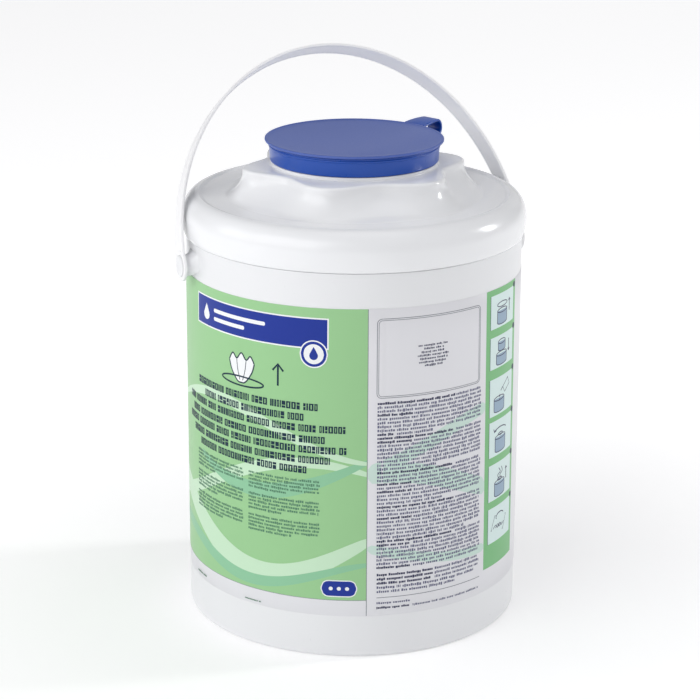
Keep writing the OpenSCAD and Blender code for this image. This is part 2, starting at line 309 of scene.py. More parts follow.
def bucket_wall():
    """Bucket with a gate mark, a standing ring and a stepped finish for the lid."""
    gate = [(0, 1.6), (1.6, 1.6), (2.1, 2.0), (2.4, UNDER_Z)]
    corners = [
        (5, UNDER_Z, 0), (39, UNDER_Z, 0.3), (39.6, 1.9, 0.2), (41.4, 1.9, 0.2), (42, UNDER_Z, 0.3),
        (81.8, UNDER_Z, 0.8), (84.2, 0, 0.8), (BUCKET_R, 0, 3.0), (BUCKET_R, SHOULDER_Z, 0.35),
        (FINISH_R, SHOULDER_Z, 0.5), (FINISH_R, RIM_Z, 0.8), (MOUTH_R, RIM_Z, 0.6), (MOUTH_R, SHOULDER_Z, 1.5),
        (INNER_R, 217.3, 2.5), (INNER_R, FLOOR_Z, 3.0), (60, FLOOR_Z, 0)]
    return lathe(gate + fillet(corners, 6) + [(0, FLOOR_Z)], 288)


def thread(root, tip, start_z, start_angle):
    """Helical ridge between the radii root and tip that runs out at both ends."""
    step, run_out = 4, 6            # degrees from row to row, and rows in which an end runs out
    foot, flat = 1.2, 0.55          # half its width at the root and at the tip
    rows = []
    steps = int(THREAD_TURNS * 360 / step)
    for i in range(steps + 1):
        share = min(1, i / run_out, (steps - i) / run_out)
        share = share * share * (3 - 2 * share)
        a = math.radians(start_angle + i * step)
        z = start_z + THREAD_LEAD * i * step / 360
        crest = root + (tip - root) * max(share, 0.05)
        section = ((root, -foot), (crest, -flat), (crest, flat), (root, foot))
        rows.append([(r * math.cos(a), r * math.sin(a), z + dz) for r, dz in section])
    return tube(rows)


def lug(side):
    """Raised pad for one end of the handle: a flared root on the wall that draws up to a round face."""
    n, rings, edge = 96, 14, 0.6
    root_x, neck_x, curved_x, bore_x = 94.2, LUG_X - edge, LUG_X - 0.8, LUG_X - 4.9
    outlines = []       # of every ring: half width, half height, lift, power of its superellipse, x
    for k in range(rings + 1):
        t = k / rings
        flare = (1 - t) ** 2.2
        x = root_x + (neck_x - root_x) * t ** 0.9
        outlines.append((LUG_R + 4.8 * flare, LUG_R, 3.0 * flare, 2 + 1.6 * flare, x))
    for a in (30, 60, 90):
        r = LUG_R - edge * (1 - math.cos(math.radians(a)))
        outlines.append((r, r, 0, 2, neck_x + edge * math.sin(math.radians(a))))
    outlines += [(STUD_R + 0.5, STUD_R + 0.5, 0, 2, LUG_X), (STUD_R, STUD_R, 0, 2, LUG_X - 0.5),
                 (STUD_R, STUD_R, 0, 2, bore_x)]
    rows = [[(side * 93.6, 0, PIVOT_Z + 3)]]
    for half_y, half_z, lift, power, x in outlines:
        fade = max(0, min(1, (curved_x - x) / 5))       # share of the wall's curve that the ring follows
        row = []
        for i in range(n):
            a = math.tau * i / n
            c, s = math.cos(a), math.sin(a)
            y = half_y * math.copysign(abs(c) ** (2 / power), c)
            z = half_z * math.copysign(abs(s) ** (2 / power), s)
            bow = BUCKET_R - math.sqrt(BUCKET_R ** 2 - y * y)
            row.append((side * (x - bow * fade), y, PIVOT_Z + lift + z))
        rows.append(row)
    rows.append([(side * bore_x, 0, PIVOT_Z)])
    return skin(rows, False)


bucket = piece("bucket_moulded", [bucket_wall(), thread(91.6, 93.05, THREAD_Z, 0), lug(1), lug(-1)],
               WHITE_BUCKET, "bucket_body")
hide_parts("bucket")


# --- lid ------------------------------------------------------------------------------------

LOBES, LOBE_TURN, LOBE_DEPTH = 6, -6, 6.0
GRIP_R, FOOT_R, LID_WALL = 58.0, 72.5, 2.2
SKIRT_Z, PANEL_Z, GRIP_Z = 221.98, 243.8, 260.4
PORT_R, NECK_R, SEAT_Z, NECK_Z = 41.8, 44.0, 264.6, 271.5
FLANK_OUT = (0.14, 0.2, 0.26, 0.32, 0.4, 0.48, 0.56, 0.64, 0.72, 0.8, 0.86)     # shares of the grip's height
FLANK_IN = (0.82, 0.7, 0.58, 0.46, 0.34, 0.22, 0.12)


def grip_flank(inset, wave, t):
    """Point (r, z) of the grip's flank at the share t of its height, for cos of the lobe angle in wave."""
    base = PANEL_Z - 1.1
    r = GRIP_R + (FOOT_R - GRIP_R) * (1 - t) ** 1.8 - inset
    return r + LOBE_DEPTH * (0.12 + 0.88 * t ** 0.7) * wave, base + (GRIP_Z - 1.2 - base) * t - inset / 2 * t


def lid_section(angle):
    """Closed (r, z) section of the lid at an angle; every section has the same number of points."""
    wave = math.cos(math.radians(LOBES * (angle - LOBE_TURN)))
    depth = LOBE_DEPTH * wave
    crown_r = 51.0 + 0.45 * depth
    shoulder = [(95.0, SKIRT_Z, 0.12)]
    shoulder += [(x, y, 0) for x, y in arc(95.4, 231.0, 2.0, 8.9, -84, 0, 10)]
    shoulder += [(x, y, 0) for x, y in arc(87.8, 232.0, 9.6, 12.6, 0, 84, 22)]
    panel = [(87.9, 244.7, 0.6), (85.6, PANEL_Z, 2.6), (FOOT_R + 0.5, PANEL_Z, 4.0)]
    flank = [(*grip_flank(0, wave, t), 0.0) for t in FLANK_OUT]
    top = [(GRIP_R + 0.1 + depth, GRIP_Z - 0.1, 2.8), (crown_r, GRIP_Z + 0.25, 3.0), (47.3, 260.75, 0.6),
           (47.3, 262.7, 0.5), (NECK_R, 262.7, 0.2), (NECK_R, NECK_Z, 0.4), (PORT_R, NECK_Z, 0.3)]
    ledge = [(PORT_R, SEAT_Z, 0.2), (39.0, SEAT_Z, 0.3), (39.0, 263.6, 0.3), (PORT_R, 260.8, 0.4),
             (PORT_R, 258.0, 0.5)]
    inner_top = [(crown_r, 258.0, 2.0), (GRIP_R - LID_WALL + depth, GRIP_Z - 2.3, 1.2)]
    inner = [(*grip_flank(LID_WALL, wave, t), 0.0) for t in FLANK_IN]
    inside = [(FOOT_R - 1.5, 241.6, 2.0), (84.8, 241.6, 1.0), (88.3, 238.6, 0.4), (93.6, 238.6, 0.3),
              (93.6, SKIRT_Z, 0.3)]
    return fillet(shoulder + panel + flank + top + ledge + inner_top + inner + inside, 5)


def lid_shell():
    n = 360
    columns = []
    for i in range(n):
        a = 360 * i / n
        c, s = math.cos(math.radians(a)), math.sin(math.radians(a))
        columns.append([(r * c, r * s, z) for r, z in lid_section(a)])
    return skin([list(row) for row in zip(*columns)], True)


# the lid's ridge lies half a lead below the bucket's and starts a sixth of a turn further on
lid_thread = thread(93.9, 92.15, THREAD_Z - THREAD_LEAD / 2 + THREAD_LEAD / 6, 60)
lid = piece("lid_moulded", [lid_shell(), lid_thread], WHITE_LID, "lid_body")
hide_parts("lid")


# --- port, collar and cap -------------------------------------------------------------------

ORIFICE_R, LIPS_R, INSERT_R, INSERT_Z = 9.5, 12.1, 41.6, 266.2


def insert_plate():
    """Insert with a raised ring and a soft nozzle of eight lips round the orifice."""
    plate = fillet([
        (ORIFICE_R, SEAT_Z, 0.3), (INSERT_R, SEAT_Z, 0.3), (INSERT_R, INSERT_Z, 0.4), (37.5, INSERT_Z, 0.3),
        (37.0, 266.7, 0.3), (35.6, 266.7, 0.3), (35.1, INSERT_Z, 0.3), (LIPS_R, INSERT_Z, 0.5),
        (ORIFICE_R, INSERT_Z, 0)], 4)
    lip = fillet([(ORIFICE_R, 265.2, 0), (LIPS_R, 265.2, 0), (11.7, 268.6, 0.5), (9.6, 268.6, 0.5)], 3)
    shells = [lathe(plate, 192)]
    for k in range(8):
        rows = []
        for i in range(9):
            a = math.radians(45 * k + 4.2 + 36.6 * i / 8)
            rows.append([(r * math.cos(a), r * math.sin(a), z) for r, z in lip])
        shells.append(tube(rows))
    return shells


insert = piece("insert_moulded", insert_plate(), WHITE_INSERT, "lid_body")
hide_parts("dispensing_insert")


def collar_ring():
    """Ring over the neck, with a bead near its top."""
    section = [(44.15, 263.0, 0.2), (47.5, 263.0, 0.5), (47.95, 270.7, 0.4), (48.4, 271.15, 0.4),
               (48.45, 271.9, 0.4), (48.05, 272.3, 0.2), (48.2, 273.2, 0.35), (PORT_R, 273.2, 0.4),
               (PORT_R, 271.55, 0.2), (44.15, 271.55, 0.2)]
    return lathe(fillet(section, 4), 288)


collar = piece("collar_moulded", [collar_ring()], BLUE, "lid_body")
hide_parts("cap_collar")

CAP_R, CAP_Z, CAP_TOP, PLUG_R = 50.4, 273.6, 275.2, 41.4


def cap_disc():
    """Thin disc with a fine raised rim, a slightly hollow top and a plug ring underneath."""
    ledge = CAP_TOP - 0.36
    top = [(48.6, CAP_TOP - 0.22), (47.8, ledge)]
    top += [(r, ledge - 0.5 * (1 - (r / 47.5) ** 2)) for r in (44, 36, 28, 20, 12, 6)]
    edge = fillet([
        (PLUG_R, CAP_Z, 0.4), (49.8, CAP_Z, 0.3), (CAP_R, CAP_Z + 0.5, 0.5), (CAP_R, CAP_TOP - 0.15, 0.35),
        (49.8, CAP_TOP, 0.4), (49.2, CAP_TOP, 0.4), (48.6, CAP_TOP - 0.22, 0)], 5, loop=False)
    plug = fillet([
        (39.8, CAP_Z, 0.4), (39.8, 270.4, 0.5), (41.2, 270.0, 0.4), (PLUG_R, 271.0, 0.4),
        (PLUG_R, CAP_Z, 0)], 4, loop=False)
    rib = [(0, CAP_Z), (14, CAP_Z), (14.4, CAP_Z - 0.4), (15.6, CAP_Z - 0.4), (16, CAP_Z)]
    return lathe(rib + plug[:-1] + edge + top + [(0, CAP_TOP - 0.86)], 288)


cap = piece("cap_moulded", [cap_disc()], BLUE_WITH_PAINTED_SHEEN, "cap_body")
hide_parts("flip_cap")

TETHER_TURN, TETHER_T, HINGE_R, TETHER_END = 26.5, 1.3, 50.7, 45.5
FOLD_X, FOLD_Z, FOLD_R = 64.5, 271.4, 5.0


def along_tether():
    return Matrix.Rotation(math.radians(TETHER_TURN), 4, "Z")


def ribbon_rows(line, half_width, thick, corner):
    """Rings of a flat strap along a line of (x, z) points; half_width(share) is half its width."""
    rows, n = [], len(line)
    for i, (x, z) in enumerate(line):
        ahead, behind = Vector(line[min(i + 1, n - 1)]), Vector(line[max(i - 1, 0)])
        tangent = (ahead - behind).normalized()
        normal = Vector((-tangent.y, tangent.x))
        w, t = half_width(i / (n - 1)), thick / 2
        section = fillet([(-w, -t, corner), (w, -t, corner), (w, t, corner), (-w, t, corner)], 3)
        rows.append([(x + normal.x * b, a, z + normal.y * b) for a, b in section])
    return rows


def tether():
    """Strap that rises from the cap's hinge, folds back under itself and ends on the collar, with a waist."""
    mid = FOLD_R - TETHER_T / 2
    rise = FOLD_Z + FOLD_R - CAP_TOP
    line = [(HINGE_R + (FOLD_X - HINGE_R) * t, CAP_TOP - TETHER_T / 2 + rise * math.sin(math.pi / 2 * t))
            for t in [i / 10 for i in range(10)]]
    line += arc(FOLD_X, FOLD_Z, mid, mid, 90, -90, 18)
    line += [(FOLD_X - (FOLD_X - TETHER_END) * i / 12, FOLD_Z - mid) for i in range(1, 13)]

    def half_width(share):
        return 7.5 - 2.6 * math.sin(math.pi * min(1, share * 1.15)) ** 2

    return moved(tube(ribbon_rows(line, half_width, TETHER_T, 0.4)), along_tether())


strap = piece("tether_moulded", [tether()], BLUE, "lid_body")
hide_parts("cap_tether")


def hinge_web():
    """Thin web from the cap's top to the tether's root."""
    line = [(48.8 + 4.4 * i / 12, 274.75 + 0.5 * (i / 12) ** 2) for i in range(13)]
    return moved(tube(ribbon_rows(line, lambda share: 6.2, 0.5, 0.15)), along_tether())


def on_tether(r, z):
    a = math.radians(TETHER_TURN)
    return (r * math.cos(a) * MM, r * math.sin(a) * MM, z * MM)


piece("hinge_web", [hinge_web()], BLUE_WITH_PAINTED_SHEEN, None,
      blend=("lid_body", "cap_body", on_tether(51.8, 275.2), on_tether(49.6, 275.2)))


# --- handle ---------------------------------------------------------------------------------

STRAP_A, STRAP_B, STRAP_T, STRAP_W = 101.9, 120.0, 1.8, 14.4
EYE_R, LEAN = 8.5, 28
STRAP_END = 4.7         # height over the pivot at which the strap ends in its eye


def strap_section():
    """Flat band with a raised rim along each edge, as (across, outwards) points."""
    w, t = STRAP_W / 2, STRAP_T / 2
    rim = w - 1.3
    floor = rim - 0.4
    lower = [(-w, -t, 0.45), (-rim, -t, 0.2), (-floor, -t + 0.2, 0.2), (floor, -t + 0.2, 0.2), (rim, -t, 0.2),
             (w, -t, 0.45)]
    return fillet(lower + [(a, -b, radius) for a, b, radius in reversed(lower)], 3)


def strap_rows():
    """Rings of the handle's strap from one eye over the top to the other, in its own upright plane."""
    n, rows = 160, []
    start = math.asin(STRAP_END / STRAP_B)
    section = strap_section()
    for i in range(n + 1):
        a = start + (math.pi - 2 * start) * i / n
        x, z = STRAP_A * math.cos(a), STRAP_B * math.sin(a)
        normal = Vector((math.cos(a) / STRAP_A, math.sin(a) / STRAP_B)).normalized()
        rows.append([(x + normal.x * b, c, z + normal.y * b) for c, b in section])
    return rows


def eye(side):
    """Round eye at one end of the strap, a little thicker than the strap and free on its stud."""
    low, bore = STRAP_A - STRAP_T / 2 - 0.04, STUD_R + 0.06
    high = STRAP_A + STRAP_T / 2 + 0.04
    profile = fillet([(bore, low, 0.3), (EYE_R, low, 0.45), (EYE_R, high, 0.45), (bore, high, 0.3)], 4)
    return moved(lathe(profile, 96), Matrix.Rotation(math.radians(90 * side), 4, "Y"))


to_rest = Matrix.Translation((0, 0, PIVOT_Z)) @ Matrix.Rotation(math.radians(-LEAN), 4, "X")
handle = piece("handle_moulded", [moved(s, to_rest) for s in (tube(strap_rows()), eye(1), eye(-1))],
               WHITE_STRAP, "handle_body")
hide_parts("handle_strap")


def stud(side):
    """Push-in stud with a domed head and a shallow dimple."""
    profile = fillet([
        (0, 95.8, 0), (3.5, 95.8, 0.3), (STUD_R, 96.6, 0.3), (STUD_R, 102.95, 0.12), (6.2, 102.95, 0.12),
        (6.2, 103.25, 0.15), (5.4, 103.75, 0.7), (2.6, 103.75, 0.5), (2.0, 103.5, 0.4), (0, 103.45, 0)],
        5, loop=False)
    turn = Matrix.Translation((0, 0, PIVOT_Z)) @ Matrix.Rotation(math.radians(90 * side), 4, "Y")
    return moved(lathe(profile, 96), turn)


for side, name in ((1, "right"), (-1, "left")):
    obj = piece(f"stud_moulded_{name}", [stud(side)], WHITE_STUD, "bucket_body")
    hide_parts(f"handle_stud_{name}")


# --- wipes and seal -------------------------------------------------------------------------

def wound_roll():
    """Roll of wipes whose ends show the edges of its layers."""
    low, high, inner, outer = 5.4, 203.6, 20.2, 87.8
    layers, creases, edge = 60, 40, 1.2
    pitch = (outer - inner - 0.8) / layers
    end = []
    for i in range(layers):
        r = inner + 0.4 + pitch * i
        lift = 0.105 * math.sin(i * 2.4) * math.sin(i * 0.37)
        end += [(r + 0.2 * pitch, high - 0.35 + lift), (r + 0.75 * pitch, high + lift + 0.1)]
    drop_z = (high - low - 2 * edge) / creases
    side = [(outer, high - edge)]
    side += [(outer + 0.12 * math.sin(k * 1.9), high - edge - k * drop_z) for k in range(1, creases)]
    side += [(outer, low + edge)]
    bottom = [(r, low + (high - z) - 0.35) for r, z in reversed(end)]
    return lathe([(inner, high - 1.0)] + end + side + bottom + [(inner, low + 1.0)], 192)


roll = piece("roll_wound", [wound_roll()], FLEECE, "bucket_body", sharp=80)
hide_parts("wipe_roll")


def gathered_wipe():
    """Leading wipe drawn together through the orifice: a pleated sheet whose ends open a little."""
    pleats, across, along = 16, 192, 70
    low, high = 149.4, 270.6
    rng = random.Random(5)
    phase = [rng.uniform(-0.5, 0.5) for _ in range(pleats + 1)]
    girth = through([(149, 12.6), (160, 12.2), (187, 11.6), (215, 9.6), (242, 7.6), (258, 5.9), (265, 5.7),
                     (268.5, 6.2), (270.8, 7.6)])
    verts = []
    for k in range(along + 1):
        z = low + (high - low) * k / along
        outer = girth(z)
        deep = min(outer - 1.0, 5.0)
        for i in range(across + 1):
            u = i / across
            p = u * pleats
            jog = phase[int(min(p, pleats - 1))]
            a = math.tau * 0.985 * u + 0.12 * jog * math.sin(z * 0.06 + jog * 9)
            fold = 0.5 - 0.5 * math.cos(math.tau * p)
            r = outer - deep * fold * (1 - 0.12 * abs(jog))
            rise = min(0.9 * jog * (k / along) ** 6, 0.2)
            verts.append((r * math.cos(a), r * math.sin(a), z + rise))
    w = across + 1
    faces = [(k * w + i, k * w + i + 1, (k + 1) * w + i + 1, (k + 1) * w + i)
             for k in range(along) for i in range(across)]
    return verts, faces


tail = piece("wipe_gathered", [gathered_wipe()], FLEECE, "lid_body", sharp=80)
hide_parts("wipe_tail")

nodes["lid_seal_ring"].data.materials.clear()
nodes["lid_seal_ring"].data.materials.append(SEAL)


# --- label ----------------------------------------------------------------------------------
# Places on the label are (s, z): s runs round the film from its seam, to the right in the picture.

FILM_R, LABEL_LOW, LABEL_TOP, SEAM_ANGLE = 95.4, 25.0, 202.5, -105.5
AROUND = math.tau * FILM_R
LAP, LAP_T, LAP_FADE = 8.0, 0.15, 2.0       # the film's overlap: its width, its thickness and how it fades
INK_T = 0.04                                # thickness of a printed layer
PANEL, BAND, FRAME, FIELD, PRINT = 0.03, 0.05, 0.09, 0.11, 0.13     # how far each layer stands off the film
ROW_GAP = 20                                # taller layers get rows in between, which keep them off the film
BLOCK_STEP = 3                              # for the blocks of text lines


def film_radius(s):
    """The film's outer radius at the distance s round the label from its seam."""
    s = (s + 1e-6) % AROUND
    if s < LAP:
        return FILM_R + LAP_T
    return FILM_R + LAP_T * max(0, 1 - (s - LAP) / LAP_FADE) ** 2


def on_label(s, z, lift):
    """Point over the film; the print widens by 3% over 165 mm from the top down, as in the photo."""
    r = film_radius(s) + lift
    a = math.radians(SEAM_ANGLE) + s * (1 + 0.03 * (LABEL_TOP - z) / 165) / FILM_R
    return (r * math.cos(a), r * math.sin(a), z)


def film():
    """Film round the bucket, with one edge lapped over the other."""
    steps = [0.0, 0.02] + [LAP * i / 4 for i in range(1, 5)] + [LAP + LAP_FADE * i / 6 for i in range(1, 7)]
    start = steps[-1]
    steps += [start + (AROUND - start - 0.01) * i / 400 for i in range(1, 401)]
    inner, edge = BUCKET_R + 0.01, 0.05
    columns = []
    for s in steps:
        r, a = film_radius(s), math.radians(SEAM_ANGLE) + s / FILM_R
        if s == steps[-1]:
            r = FILM_R
        section = [(inner, LABEL_LOW), (r - edge, LABEL_LOW), (r, LABEL_LOW + edge)]
        section += [(r, LABEL_LOW + (LABEL_TOP - LABEL_LOW) * k / 8) for k in range(1, 8)]
        section += [(r, LABEL_TOP - edge), (r - edge, LABEL_TOP), (inner, LABEL_TOP)]
        columns.append([(q * math.cos(a), q * math.sin(a), z) for q, z in section])
    return skin(columns, True)


def slab(s0, s1, low, high, lift, step=1.8):
    """Printed layer from s0 to s1 between the heights low(s) and high(s), or between two numbers."""
    at_low = low if callable(low) else lambda s: low
    at_high = high if callable(high) else lambda s: high
    n = max(1, math.ceil((s1 - s0) / step))
    along = [s0 + (s1 - s0) * i / n for i in range(n + 1)]
    levels = max(1, math.ceil(max(at_high(s) - at_low(s) for s in along) / ROW_GAP))
    rows = []
    for s in along:
        lo, hi = at_low(s), at_high(s)
        heights = [lo + (hi - lo) * k / levels for k in range(levels + 1)]
        face = [on_label(s, z, lift) for z in heights]
        rows.append(face + [on_label(s, z, lift - INK_T) for z in heights[::-1]])
    return tube(rows)


def stroke(points, width, lift, loop=False):
    """Printed line of that width through points (s, z)."""
    pts = [Vector(p) for p in points]
    n, rows = len(pts), []
    for i, p in enumerate(pts):
        behind = pts[i - 1] if i or loop else p
        ahead = pts[(i + 1) % n] if i < n - 1 or loop else p
        along = (ahead - behind).normalized()
        side = Vector((-along.y, along.x)) * width / 2
        a, b = p + side, p - side
        rows.append([on_label(a.x, a.y, lift), on_label(b.x, b.y, lift), on_label(b.x, b.y, lift - INK_T),
                     on_label(a.x, a.y, lift - INK_T)])
    return skin(rows, True) if loop else tube(rows)


def oval(cx, cz, rx, rz, n=32, a0=0, a1=360):
    """Points of an oval from the angle a0 to a1; a whole one doesn't repeat its first point."""
    points = arc(cx, cz, rx, rz, a0, a1, n)
    return points if a1 - a0 < 360 else points[:-1]


def chord(s, cx, r):
    """Half the height at s of a circle round cx."""
    return r * math.sqrt(max(1e-4, 1 - ((s - cx) / r) ** 2))


def disc(cx, cz, r, lift):
    return slab(cx - 0.999 * r, cx + 0.999 * r, lambda s: cz - chord(s, cx, r), lambda s: cz + chord(s, cx, r),
                lift, r / 14)


def drop(cx, cz, r, lift):
    """Plain drop with its tip upwards."""
    def high(s):
        q = abs(s - cx) / r
        return cz + max(chord(s, cx, r), 2.1 * r * (1 - q) ** 0.8 if q < 1 else 0)

    return slab(cx - 0.999 * r, cx + 0.999 * r, lambda s: cz - chord(s, cx, r), high, lift, r / 12)


def rounded(s0, s1, z0, z1, radius, lift):
    """Filled rectangle with round corners."""
    def cut(s):
        d = min(s - s0, s1 - s)
        return radius - math.sqrt(max(0, radius ** 2 - (radius - d) ** 2)) if d < radius else 0

    return slab(s0, s1, lambda s: z0 + cut(s), lambda s: z1 - cut(s), lift, min(1.8, radius / 4))


def frame_line(s0, s1, z0, z1, radius, width, lift):
    """Outline of a rectangle with round corners."""
    points = fillet([(s0, z0, radius), (s1, z0, radius), (s1, z1, radius), (s0, z1, radius)], 5)
    dense = []
    for (x0, y0), (x1, y1) in zip(points, points[1:] + points[:1]):
        n = max(1, int(abs(x1 - x0) / 2))
        dense += [(x0 + (x1 - x0) * k / n, y0 + (y1 - y0) * k / n) for k in range(n)]
    return stroke(dense, width, lift, loop=True)


def greeked(rng, s0, s1, z, cap, letter, gap, space, lift, word=(3, 10), low=0.0):
    """Line of plain blocks with the rhythm of printed words, without any lettering.

    Some blocks have the full height cap, and the share low of them reaches below the line.
    """
    shells, s = [], s0
    while s < s1 - letter:
        for _ in range(rng.randint(*word)):
            w = letter * rng.choice((0.55, 0.8, 1, 1, 1.15, 1.35))
            if s + w > s1:
                break
            height = cap if rng.random() < 0.3 else cap * 0.76
            foot = cap * 0.22 if rng.random() < low else 0
            shells.append(slab(s, s + w, z - cap / 2 - foot, z - cap / 2 + height, lift, BLOCK_STEP))
            s += w + gap
        s += space
    return shells


def bricks(rng, s0, s1, z, cap, letter, gap, space, lift):
    """Bold line of plain bricks: narrow ones, pairs of posts, hollow ones and split ones."""
    shells, s = [], s0
    foot, head = z - cap / 2, z + cap / 2

    def brick(a, b, low=foot, high=head):
        shells.append(slab(a, b, low, high, lift, BLOCK_STEP))

    while s < s1 - letter:
        for _ in range(rng.randint(4, 12)):
            w = letter * rng.choice((0.6, 0.85, 1, 1, 1.2))
            if s + w > s1:
                break
            kind = rng.choice(("narrow", "posts", "hollow", "hollow", "hollow", "hollow", "split", "split"))
            cut = foot + cap * rng.choice((0.36, 0.5, 0.64))
            if kind == "narrow":
                w *= 0.5
                brick(s, s + w)
            elif kind == "posts":
                bar = 0.5 * w - 0.16
                brick(s, s + bar)
                brick(s + w - bar, s + w)
            elif kind == "hollow":
                bar = 0.36 * w
                brick(s, s + bar)
                brick(s + w - bar, s + w)
                brick(s + bar, s + w - bar, high=foot + 0.7)
                brick(s + bar, s + w - bar, low=head - 0.7)
            else:
                brick(s, s + w, high=cut - 0.2)
                brick(s, s + w, low=cut + 0.2)
            s += w + gap
        s += space
    return shells


rng = random.Random(11)
wrap = piece("label_film", [film()], FILM, "bucket_body", sharp=50)
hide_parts("label_wrap")


def printed(name, shells, material):
    return piece(name, shells, material, "bucket_body", sharp=60)


# the green panel to the left of the seam, and the strip to the right of the white panel
GREEN_LOW, GREEN_BACK = 34.6, -205.0
STRIP_IN, STRIP_OUT = 74.6, 109.5
printed("label_green_panel", [slab(GREEN_BACK, -0.35, GREEN_LOW, LABEL_TOP, PANEL)], GREEN)
printed("label_strip", [slab(STRIP_IN, STRIP_OUT, 38.2, LABEL_TOP, PANEL)], STRIP_GREEN)


def wave_band(floor, roof, s0, s1, mid, swing, length, phase, width, taper, lift):
    """Ribbon along a slow sine wave, thinner at its ends and cut at the heights floor and roof."""
    def half(s):
        return 0.5 * width * (0.35 + 0.65 * math.sin(math.pi * (s - s0) / (s1 - s0)) ** taper)

    def line(s):
        return mid + swing * math.sin(math.tau * s / length + phase)

    def keep(z):
        return min(roof, max(floor, z))

    return slab(s0, s1, lambda s: keep(line(s) - half(s)), lambda s: keep(line(s) + half(s)) + 0.01, lift, 2.2)


for name, material, floor, roof, bands in (
        ("label_wave_pale", PALE_GREEN, GREEN_LOW, LABEL_TOP, (
            (-200, -0.6, 62, 17, 190, 0.4, 15, 0.6, BAND),
            (-200, -0.6, 92, 22, 260, 2.3, 8, 0.8, BAND + 0.012),
            (-150, -0.6, 128, 14, 210, 4.4, 6, 0.8, BAND + 0.024))),
        ("label_wave_teal", TEAL_GREEN, GREEN_LOW, LABEL_TOP, (
            (-200, -0.6, 48, 8, 150, 1.2, 7, 0.7, BAND + 0.006),
            (-110, -0.6, 112, 18, 240, 0.2, 9, 0.9, BAND + 0.018))),
        ("label_wave_faint", FAINT_GREEN, 40, 150, (
            (0.1, STRIP_IN, 122, 15, 210, -0.9, 8, 0.1, PANEL),
            (0.1, STRIP_IN, 96, 13, 190, 1.2, 12, 0.1, PANEL + 0.004),
            (0.1, STRIP_IN, 62, 9, 230, 2.8, 6, 0.1, PANEL + 0.008)))):
    printed(name, [wave_band(floor, roof, *band) for band in bands], material)

# banner, badge and the round-cornered plate low on the panel
BANNER = (-114.6, -22.2, 180.2, 196.2)
BADGE = (-29.6, 176.6)
printed("label_white_frames", [
    slab(BANNER[0] - 0.8, BANNER[1] + 0.8, BANNER[2] - 0.8, BANNER[3] + 0.8, FRAME),
    rounded(-25.0, -5.2, 36.4, 46.4, 4.4, FRAME)], WHITE)
printed("label_banner", [
    slab(*BANNER, FIELD),
    rounded(-24.4, -5.8, 37.0, 45.8, 3.8, FIELD)], NAVY)
printed("label_badge", [
    disc(*BADGE, 7.8, FIELD + 0.015),
    disc(*BADGE, 5.6, PRINT + 0.015)], WHITE)
printed("label_badge_ring", [
    disc(*BADGE, 7.1, FIELD + 0.03),
    drop(BADGE[0], BADGE[1] - 0.9, 2.4, PRINT + 0.03)], NAVY)
printed("label_banner_marks", [
    drop(-104.5, 186.4, 3.0, PRINT),
    rounded(-97, -58, 189.2, 191.4, 1.0, PRINT),
    rounded(-97, -72, 184.4, 186.6, 1.0, PRINT),
    *[disc(-19.5 + 4.4 * k, 41.4, 1.1, PRINT) for k in range(3)]], WHITE)

# headings
shells = []
for s0, s1, z in ((-114.3, -24.4, 146.4), (-106.5, -33.7, 140.2), (-127.7, -11.2, 134.1),
                  (-123.1, -21.2, 127.8), (-128.4, -11.1, 122.0), (-121.3, -18.2, 116.0),
                  (-112.1, -31.3, 110.0)):
    shells += bricks(rng, s0, s1, z, 4.0, 2.1, 0.5, 1.5, PRINT)

# a wipe drawn up out of a round port, above the headings, with an arrow
TUFT_HIGH = [(-83.0, 166.0), (-80.4, 170.0), (-77.4, 167.4), (-74.0, 171.0), (-70.6, 167.4), (-67.6, 170.0),
             (-65.0, 166.0)]
TUFT_LOW = [(-83.0, 165.8), (-81.2, 160.4), (-77.0, 154.8), (-74.0, 154.0), (-71.0, 154.8), (-66.8, 160.4),
            (-65.0, 165.8)]
shells += [stroke(oval(-74.0, 154.8, 15.0, 2.6, 48), 0.9, PRINT - 0.01, loop=True),
           stroke([(-50.0, 156.5), (-50.0, 168.0)], 1.1, PRINT),
           stroke([(-53.2, 165.0), (-50.0, 168.8), (-46.8, 165.0)], 1.1, PRINT + 0.01),
           stroke(catmull(TUFT_HIGH), 0.75, PRINT),
           stroke(catmull(TUFT_LOW), 0.75, PRINT),
           stroke(catmull([(-77.4, 167.0), (-76.6, 161.0), (-75.0, 155.4)]), 0.45, PRINT),
           stroke(catmull([(-70.6, 167.0), (-71.4, 161.0), (-73.0, 155.4)]), 0.45, PRINT)]
printed("label_headings", shells, TEXT)
printed("label_tuft", [slab(-82.9, -65.1, through(TUFT_LOW), through(TUFT_HIGH), FIELD, 0.6)], WHITE)

# small text on the green panel: two columns of three paragraphs, and two short lines at the bottom
shells = []
for left, right, top in ((-116.0, -72.4, 103.8), (-68.6, -25.6, 103.6)):
    for k in range(17):
        if k in (5, 11):
            continue
        end = right if k not in (4, 10, 16) else right - rng.uniform(10, 28)
        shells += greeked(rng, left, end, top - 2.08 * k, 1.35, 0.8, 0.28, 0.8, PRINT, low=0.1)
shells += greeked(rng, -118, -106, 28.2, 1.2, 0.7, 0.3, 0.8, PRINT)
shells += greeked(rng, -71, -60, 27.2, 0.9, 0.6, 0.25, 0.6, PRINT)
printed("label_small_print", shells, SMALL_TEXT)

# the white panel: an outlined field, the long text and the lines under it
LINE = PANEL + 0.02
printed("label_outlines_and_seam_shadow", [
    frame_line(4.6, 69.2, 152.2, 196.8, 2.6, 0.35, LINE),
    frame_line(5.5, 68.3, 153.1, 195.9, 1.9, 0.3, LINE),
    slab(5.2, 71.0, 35.6, 35.95, LINE),
    # painted shadow: a dark strip beside the film's lapped edge at the seam, where the step is in shade
    slab(-0.45, -0.1, LABEL_LOW + 0.1, LABEL_TOP - 0.1, PANEL),
    slab(GREEN_BACK, -0.5, GREEN_LOW - 0.3, GREEN_LOW, PANEL)], OUTLINE_AND_SEAM_SHADOW)
bold, plain = [], []


